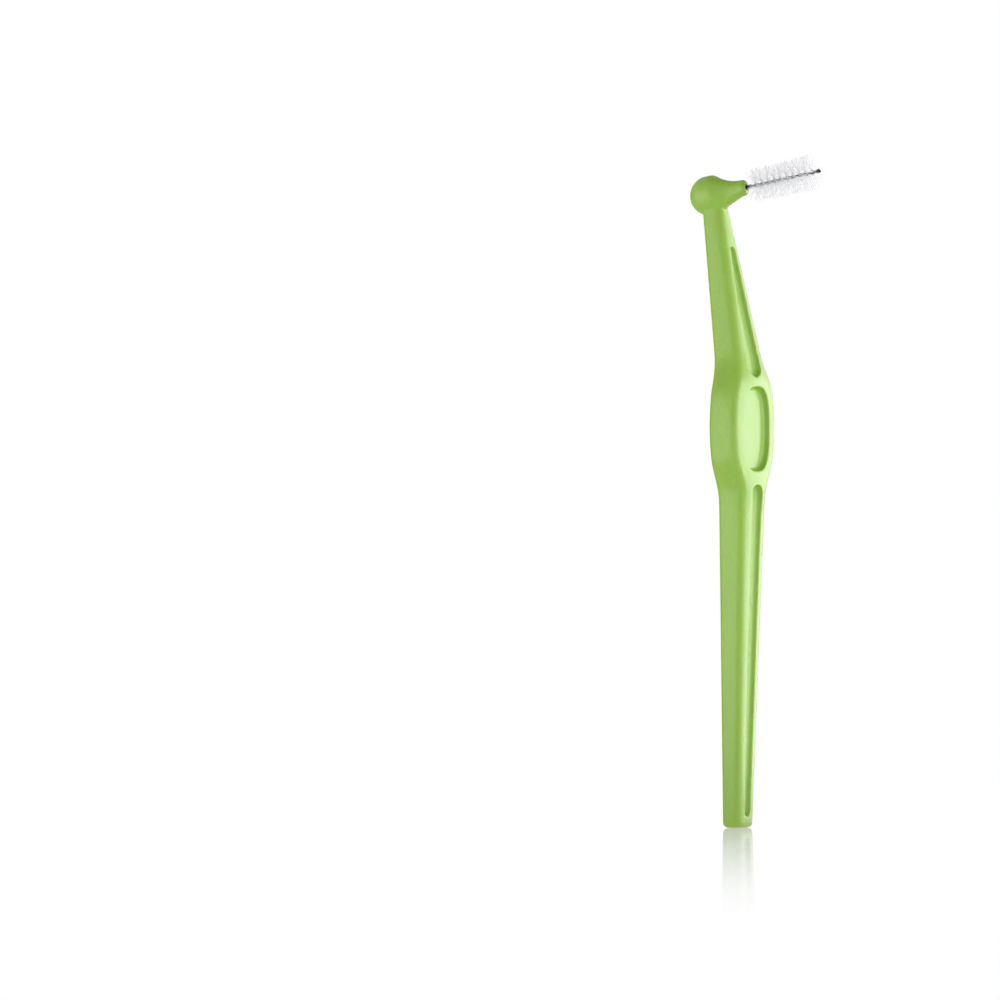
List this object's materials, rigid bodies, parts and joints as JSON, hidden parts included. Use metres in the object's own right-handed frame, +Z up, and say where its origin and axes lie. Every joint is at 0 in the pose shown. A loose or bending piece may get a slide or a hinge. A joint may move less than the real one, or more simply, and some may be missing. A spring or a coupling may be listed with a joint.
{
  "type": "interdental brush",
  "caption": "Angled interdental brush: a tapering moulded handle with a thumb pocket and grip channels, and a short twisted-wire brush set square to its head.",
  "frame": {"origin": "centre of the flat end face of the handle, on which the brush stands", "axes": "+Z up the handle, from the flat end to the head; +X the way the wire brush points and the front pocket faces; Y across the handle, symmetric"},
  "size_m": [0.0316, 0.0174, 0.141],
  "materials": {
    "handle_plastic": "satin moulded plastic, leaf green",
    "wire_steel": "bright drawn wire",
    "filament_nylon": "translucent white nylon"
  },
  "bodies": {
    "root": {"handle": "handle_plastic", "twisted_wire": "wire_steel", "filament_tuft_01": "filament_nylon", "filament_tuft_02": "filament_nylon", "filament_tuft_03": "filament_nylon", "filament_tuft_04": "filament_nylon", "filament_tuft_05": "filament_nylon", "filament_tuft_06": "filament_nylon", "filament_tuft_07": "filament_nylon", "filament_tuft_08": "filament_nylon", "filament_tuft_09": "filament_nylon", "filament_tuft_10": "filament_nylon"}
  },
  "joints": []
}
